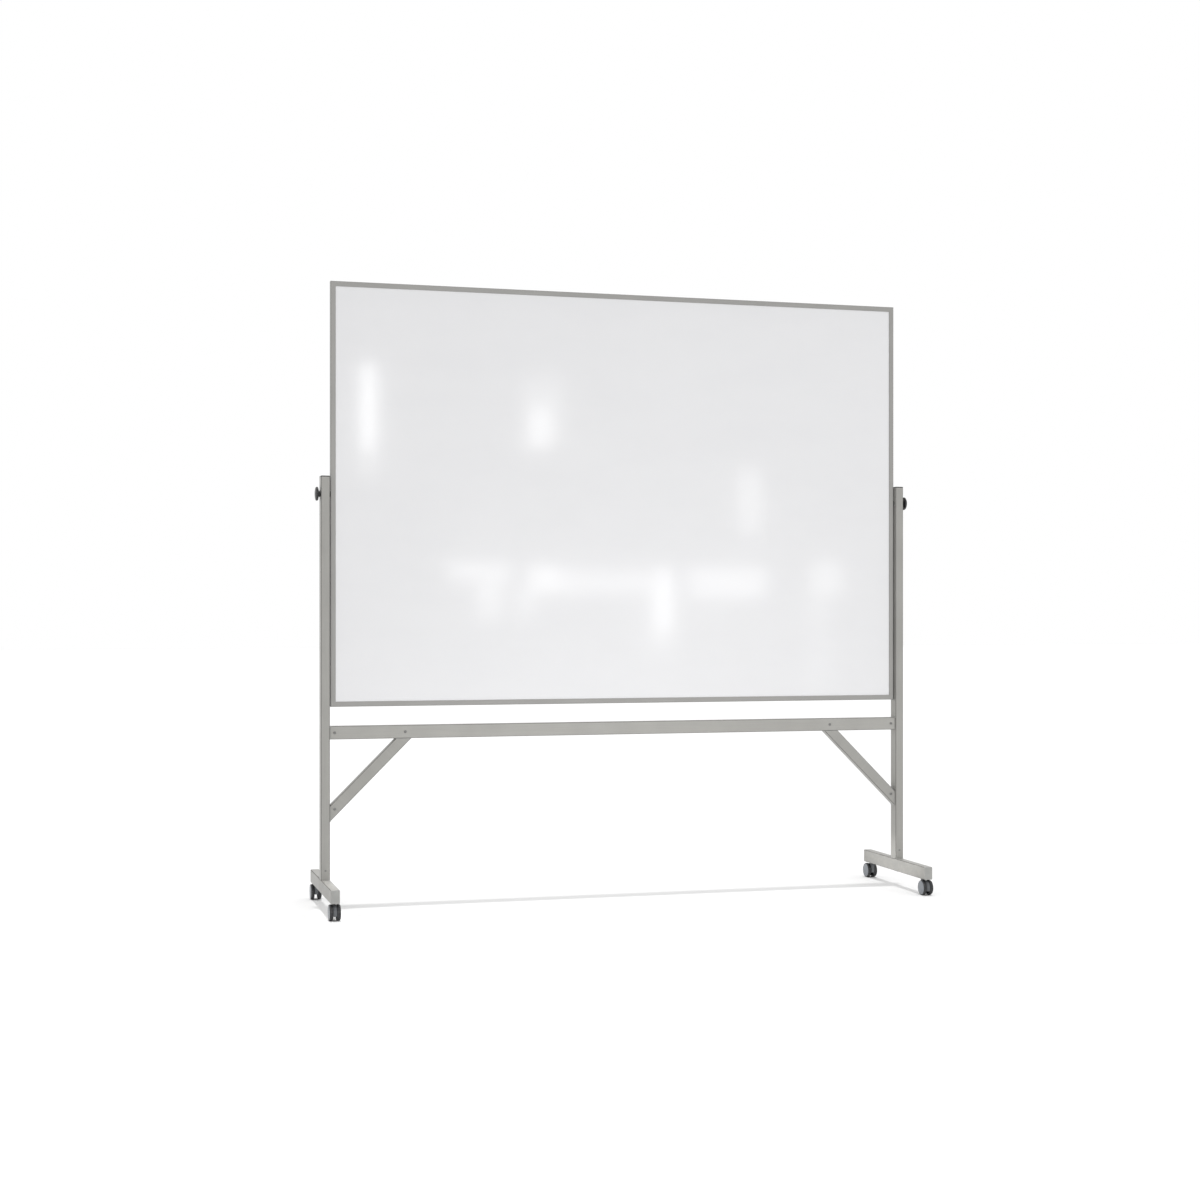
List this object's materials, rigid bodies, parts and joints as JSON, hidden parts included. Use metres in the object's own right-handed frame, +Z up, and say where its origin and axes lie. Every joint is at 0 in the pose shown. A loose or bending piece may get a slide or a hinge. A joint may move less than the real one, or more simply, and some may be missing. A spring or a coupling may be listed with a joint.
{
  "type": "rolling whiteboard",
  "caption": "Reversible double-sided whiteboard in a slim metal frame, turning between two posts on a braced stand with swivel casters.",
  "frame": {"origin": "on the floor under the wheels, midway between the posts and midway along the feet", "axes": "+X along the board to the right as seen from the front, +Y from the front to the back, +Z up"},
  "size_m": [1.836, 0.4556, 1.7994],
  "materials": {
    "writing_enamel": "gloss",
    "panel_core": "matte",
    "frame_aluminium": "satin",
    "stand_metal": "satin",
    "grey_plastic": "matte",
    "black_nylon": "matte",
    "knob_plastic": "satin",
    "brass_insert": "satin",
    "zinc_steel": "satin",
    "screw_steel": "satin",
    "caster_hood": "matte",
    "caster_tread": "satin",
    "caster_disc": "satin"
  },
  "bodies": {
    "stand": {"post_left": "stand_metal", "post_right": "stand_metal", "post_caps": "black_nylon", "beam": "stand_metal", "brace_left": "stand_metal", "brace_right": "stand_metal", "beam_end_plugs": "grey_plastic", "brace_lower_plugs": "grey_plastic", "brace_upper_plugs": "grey_plastic", "lock_screws": "screw_steel", "plug_bolts": "zinc_steel", "foot_left": "stand_metal", "foot_right": "stand_metal", "foot_caps": "grey_plastic", "foot_spigots": "grey_plastic", "spigot_lock_screws": "screw_steel", "spigot_bolts": "zinc_steel", "caster_sockets": "zinc_steel", "caster_stems": "zinc_steel", "pivot_spacers": "black_nylon", "pivot_bushes": "black_nylon"},
    "board": {"board_skin_front": "writing_enamel", "board_skin_back": "writing_enamel", "board_core": "panel_core", "board_rail_top": "frame_aluminium", "board_rail_bottom": "frame_aluminium", "board_rail_left": "frame_aluminium", "board_rail_right": "frame_aluminium", "board_corner_keys": "zinc_steel", "pivot_blocks": "zinc_steel", "pivot_studs": "zinc_steel"},
    "clamp_knob_left": {"knob_left": "knob_plastic", "knob_insert_left": "brass_insert"},
    "clamp_knob_right": {"knob_right": "knob_plastic", "knob_insert_right": "brass_insert"},
    "caster_front_left_swivel": {"caster_front_left_housing": "caster_hood", "caster_front_left_axle": "zinc_steel"},
    "caster_front_left_wheel_left_body": {"caster_front_left_wheel_left": "caster_tread", "caster_front_left_disc_left": "caster_disc"},
    "caster_front_left_wheel_right_body": {"caster_front_left_wheel_right": "caster_tread", "caster_front_left_disc_right": "caster_disc"},
    "caster_front_right_swivel": {"caster_front_right_housing": "caster_hood", "caster_front_right_axle": "zinc_steel"},
    "caster_front_right_wheel_left_body": {"caster_front_right_wheel_left": "caster_tread", "caster_front_right_disc_left": "caster_disc"},
    "caster_front_right_wheel_right_body": {"caster_front_right_wheel_right": "caster_tread", "caster_front_right_disc_right": "caster_disc"},
    "caster_rear_left_swivel": {"caster_rear_left_housing": "caster_hood", "caster_rear_left_axle": "zinc_steel"},
    "caster_rear_left_wheel_left_body": {"caster_rear_left_wheel_left": "caster_tread", "caster_rear_left_disc_left": "caster_disc"},
    "caster_rear_left_wheel_right_body": {"caster_rear_left_wheel_right": "caster_tread", "caster_rear_left_disc_right": "caster_disc"},
    "caster_rear_right_swivel": {"caster_rear_right_housing": "caster_hood", "caster_rear_right_axle": "zinc_steel"},
    "caster_rear_right_wheel_left_body": {"caster_rear_right_wheel_left": "caster_tread", "caster_rear_right_disc_left": "caster_disc"},
    "caster_rear_right_wheel_right_body": {"caster_rear_right_wheel_right": "caster_tread", "caster_rear_right_disc_right": "caster_disc"}
  },
  "joints": [
    {"name": "board_flip", "type": "hinge", "parent": "stand", "child": "board", "pos_m": [0, 0, 1.1898], "axis": [1, 0, 0], "continuous": true},
    {"name": "knob_left_turn", "type": "hinge", "parent": "board", "child": "clamp_knob_left", "pos_m": [-0.9104, 0, 1.1898], "axis": [-1, 0, 0], "range_deg": [0, 360]},
    {"name": "knob_right_turn", "type": "hinge", "parent": "board", "child": "clamp_knob_right", "pos_m": [0.9104, 0, 1.1898], "axis": [1, 0, 0], "range_deg": [0, 360]},
    {"name": "caster_front_left_swivel_turn", "type": "hinge", "parent": "stand", "child": "caster_front_left_swivel", "pos_m": [-0.8897, -0.19025, 0.0467], "axis": [0, 0, 1], "continuous": true},
    {"name": "caster_front_left_wheel_left_roll", "type": "hinge", "parent": "caster_front_left_swivel", "child": "caster_front_left_wheel_left_body", "pos_m": [-0.8897, -0.20525, 0.0225], "axis": [1, 0, 0], "continuous": true},
    {"name": "caster_front_left_wheel_right_roll", "type": "hinge", "parent": "caster_front_left_swivel", "child": "caster_front_left_wheel_right_body", "pos_m": [-0.8897, -0.20525, 0.0225], "axis": [1, 0, 0], "continuous": true},
    {"name": "caster_front_right_swivel_turn", "type": "hinge", "parent": "stand", "child": "caster_front_right_swivel", "pos_m": [0.8897, -0.19025, 0.0467], "axis": [0, 0, 1], "continuous": true},
    {"name": "caster_front_right_wheel_left_roll", "type": "hinge", "parent": "caster_front_right_swivel", "child": "caster_front_right_wheel_left_body", "pos_m": [0.8897, -0.20525, 0.0225], "axis": [1, 0, 0], "continuous": true},
    {"name": "caster_front_right_wheel_right_roll", "type": "hinge", "parent": "caster_front_right_swivel", "child": "caster_front_right_wheel_right_body", "pos_m": [0.8897, -0.20525, 0.0225], "axis": [1, 0, 0], "continuous": true},
    {"name": "caster_rear_left_swivel_turn", "type": "hinge", "parent": "stand", "child": "caster_rear_left_swivel", "pos_m": [-0.8897, 0.19025, 0.0467], "axis": [0, 0, 1], "continuous": true},
    {"name": "caster_rear_left_wheel_left_roll", "type": "hinge", "parent": "caster_rear_left_swivel", "child": "caster_rear_left_wheel_left_body", "pos_m": [-0.8897, 0.20525, 0.0225], "axis": [1, 0, 0], "continuous": true},
    {"name": "caster_rear_left_wheel_right_roll", "type": "hinge", "parent": "caster_rear_left_swivel", "child": "caster_rear_left_wheel_right_body", "pos_m": [-0.8897, 0.20525, 0.0225], "axis": [1, 0, 0], "continuous": true},
    {"name": "caster_rear_right_swivel_turn", "type": "hinge", "parent": "stand", "child": "caster_rear_right_swivel", "pos_m": [0.8897, 0.19025, 0.0467], "axis": [0, 0, 1], "continuous": true},
    {"name": "caster_rear_right_wheel_left_roll", "type": "hinge", "parent": "caster_rear_right_swivel", "child": "caster_rear_right_wheel_left_body", "pos_m": [0.8897, 0.20525, 0.0225], "axis": [1, 0, 0], "continuous": true},
    {"name": "caster_rear_right_wheel_right_roll", "type": "hinge", "parent": "caster_rear_right_swivel", "child": "caster_rear_right_wheel_right_body", "pos_m": [0.8897, 0.20525, 0.0225], "axis": [1, 0, 0], "continuous": true}
  ]
}
